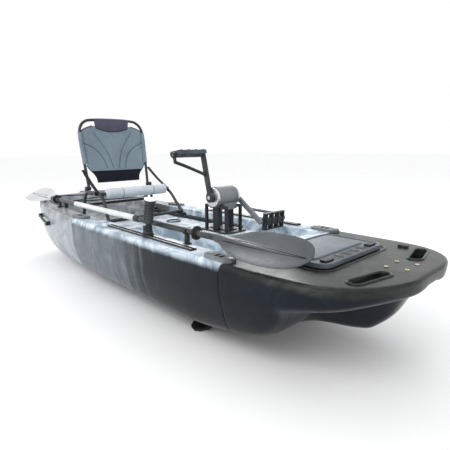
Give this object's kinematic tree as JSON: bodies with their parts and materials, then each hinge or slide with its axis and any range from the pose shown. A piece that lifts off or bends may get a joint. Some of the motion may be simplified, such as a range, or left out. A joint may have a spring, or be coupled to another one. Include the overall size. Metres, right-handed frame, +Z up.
{
  "type": "pedal boat",
  "caption": "Sit-on-top three-section pedal boat with side sponsons, push-pedal fin drive, framed seat, deck hatch, rod holder and stowed paddle.",
  "frame": {"origin": "on the keel plane under the middle of the hull, on its centreline", "axes": "+X towards the bow, +Y to port, +Z up"},
  "size_m": [3.206, 0.918, 1.0827],
  "materials": {
    "hull_dark": "semi-gloss moulded polyethylene",
    "hull_marble": "marbled semi-gloss polyethylene",
    "hull_grey": "marbled semi-gloss polyethylene",
    "latch_grey": "moulded nylon",
    "black_plastic": "moulded nylon",
    "hatch_grey": "moulded plastic",
    "steel": "stainless",
    "silver": "machined",
    "brass": "bright",
    "fin_rubber": "moulded",
    "frame_tube": "black anodised tube",
    "seat_fabric": "heather mesh",
    "head_fabric": "padded fabric",
    "band_fabric": "dark mesh",
    "roll_fabric": "padded fabric",
    "webbing": "woven",
    "shaft_black": "fibre composite tube",
    "grip_white": "smooth sleeve",
    "blade_grey": "satin moulded",
    "blade_white": "satin moulded"
  },
  "bodies": {
    "hull": {"hull_bow": "hull_dark", "hull_mid": "hull_marble", "hull_stern": "hull_grey", "bow_latches": "latch_grey", "stern_latches": "latch_grey", "latch_bolts": "steel", "hatch_rim": "black_plastic", "hatch_pin": "steel", "deck_inserts": "brass", "gear_rails": "black_plastic", "rail_screws": "steel", "drive_plate": "black_plastic", "drive_frame": "black_plastic", "drive_drum": "latch_grey", "drive_axle": "steel", "drive_mast": "black_plastic", "fin_axle": "steel", "seat_rails": "black_plastic", "paddle_clips": "black_plastic", "handle_s": "black_plastic", "handle_p": "black_plastic", "handle_eyes": "black_plastic", "bungee": "webbing", "pad_eyes": "black_plastic", "drain_plug": "black_plastic", "cup_ring": "black_plastic", "scupper_rings": "black_plastic"},
    "crank_starboard": {"crank_s": "black_plastic", "crank_disc_s": "silver", "pedal_pin_s": "steel"},
    "pedal_starboard": {"pedal_s": "black_plastic"},
    "crank_port": {"crank_p": "latch_grey", "crank_disc_p": "silver", "pedal_pin_p": "steel"},
    "pedal_port": {"pedal_p": "black_plastic"},
    "front_fin": {"fin_front": "fin_rubber"},
    "rear_fin": {"fin_rear": "fin_rubber"},
    "hatch": {"hatch_lid": "hatch_grey"},
    "latch_starboard": {"hatch_latch_s": "black_plastic"},
    "latch_port": {"hatch_latch_p": "black_plastic"},
    "seat": {"seat_frame": "frame_tube", "seat_feet": "black_plastic", "seat_pan": "seat_fabric", "seat_roll": "roll_fabric", "seat_bolts": "steel"},
    "seat_back": {"seat_back_frame": "frame_tube", "seat_back_panel": "seat_fabric", "seat_head_cover": "head_fabric", "seat_band": "band_fabric", "seat_straps": "webbing"},
    "rod_slider": {"rod_carriage": "black_plastic"},
    "rod_swivel": {"rod_knob": "black_plastic"},
    "rod_holder": {"rod_tube": "black_plastic", "rod_rim": "silver"},
    "paddle": {"paddle_shaft": "shaft_black", "paddle_grip": "grip_white", "paddle_ferrule": "black_plastic", "paddle_rings": "black_plastic", "blade_front": "blade_grey", "blade_rear": "blade_white"}
  },
  "joints": [
    {"name": "starboard_crank", "type": "hinge", "parent": "hull", "child": "crank_starboard", "pos_m": [0.53, 0, 0.545], "axis": [0, 1, 0], "range_deg": [0, 138]},
    {"name": "port_crank", "type": "hinge", "parent": "hull", "child": "crank_port", "pos_m": [0.53, 0, 0.545], "axis": [0, 1, 0], "range_deg": [-138, 0]},
    {"name": "starboard_pedal", "type": "hinge", "parent": "crank_starboard", "child": "pedal_starboard", "pos_m": [0.47939, -0.18, 0.76423], "axis": [0, 1, 0], "range_deg": [-35, 35]},
    {"name": "port_pedal", "type": "hinge", "parent": "crank_port", "child": "pedal_port", "pos_m": [0.71431, 0.18, 0.41595], "axis": [0, 1, 0], "range_deg": [-35, 35]},
    {"name": "front_fin_sweep", "type": "hinge", "parent": "hull", "child": "front_fin", "pos_m": [0.658, 0, -0.014], "axis": [1, 0, 0], "range_deg": [0, 162]},
    {"name": "rear_fin_sweep", "type": "hinge", "parent": "hull", "child": "rear_fin", "pos_m": [0.402, 0, -0.014], "axis": [1, 0, 0], "range_deg": [-162, 0]},
    {"name": "hatch_hinge", "type": "hinge", "parent": "hull", "child": "hatch", "pos_m": [1.012, 0, 0.366], "axis": [0, 1, 0], "range_deg": [-105, 0]},
    {"name": "latch_starboard_turn", "type": "hinge", "parent": "hatch", "child": "latch_starboard", "pos_m": [1.278, -0.17, 0.375], "axis": [0, 0, 1], "range_deg": [0, 90]},
    {"name": "latch_port_turn", "type": "hinge", "parent": "hatch", "child": "latch_port", "pos_m": [1.278, 0.17, 0.375], "axis": [0, 0, 1], "range_deg": [-90, 0]},
    {"name": "seat_slide", "type": "slide", "parent": "hull", "child": "seat", "axis": [1, 0, 0], "range_m": [-0.06, 0.12]},
    {"name": "seat_back_fold", "type": "hinge", "parent": "seat", "child": "seat_back", "pos_m": [-0.59, 0, 0.525], "axis": [0, 1, 0], "range_deg": [-8, 60], "deforming": ["seat_straps"]},
    {"name": "rod_holder_slide", "type": "slide", "parent": "hull", "child": "rod_slider", "axis": [1, 0, 0], "range_m": [-0.12, 0.2]},
    {"name": "rod_holder_swivel", "type": "hinge", "parent": "rod_slider", "child": "rod_swivel", "pos_m": [0.385, -0.385, 0.385], "axis": [0, 0, 1], "continuous": true},
    {"name": "rod_holder_tilt", "type": "hinge", "parent": "rod_swivel", "child": "rod_holder", "pos_m": [0.385, -0.385, 0.412], "axis": [0, 1, 0], "range_deg": [-12, 6]},
    {"name": "paddle_lift", "type": "slide", "parent": "hull", "child": "paddle", "axis": [0, 0, 1], "range_m": [0, 0.1]}
  ],
  "couplings": [
    {"joint": "port_crank", "follows": "starboard_crank", "ratio": -1},
    {"joint": "front_fin_sweep", "follows": "starboard_crank", "ratio": 1.1739},
    {"joint": "rear_fin_sweep", "follows": "starboard_crank", "ratio": -1.1739}
  ]
}
